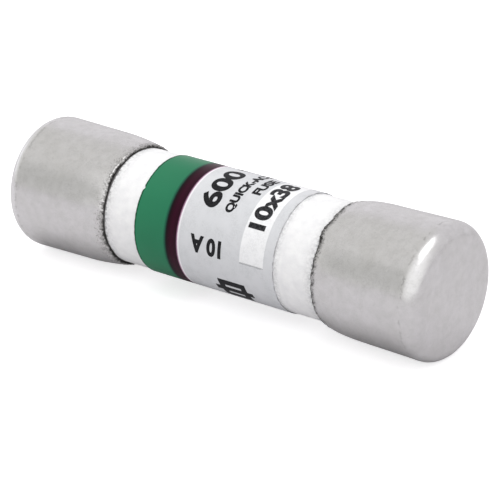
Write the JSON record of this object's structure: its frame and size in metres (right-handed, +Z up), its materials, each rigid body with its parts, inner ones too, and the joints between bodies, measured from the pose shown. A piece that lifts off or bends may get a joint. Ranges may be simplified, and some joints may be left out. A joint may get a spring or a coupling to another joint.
{
  "type": "cartridge fuse",
  "caption": "Ferrule cartridge fuse: white tube with a printed wrap label, closed at each end by a rounded nickel-plated cap, with a notched strip in sand inside.",
  "frame": {"origin": "centre of the fuse, on the axis of its tube and halfway between its two end faces", "axes": "+X along the tube towards the right end cap, +Z up with the fuse lying on its side, -Y towards the front, where the printed text starts"},
  "size_m": [0.0382, 0.0104, 0.0104],
  "materials": {
    "nickel_plate": "satin",
    "glass_melamine": "matte",
    "printed_film": "satin",
    "vulcan_fibre": "matte",
    "soft_solder": "satin",
    "silver_strip": "gloss",
    "tin": "satin",
    "quartz_sand": "matte"
  },
  "bodies": {
    "root": {"fuse_tube": "glass_melamine", "rating_label": "printed_film", "right_end_cap": "nickel_plate", "left_end_cap": "nickel_plate", "right_solder_joint": "soft_solder", "left_solder_joint": "soft_solder", "right_fibre_washer": "vulcan_fibre", "left_fibre_washer": "vulcan_fibre", "fuse_element": "silver_strip", "tin_spot": "tin", "quartz_filler": "quartz_sand"}
  },
  "joints": []
}
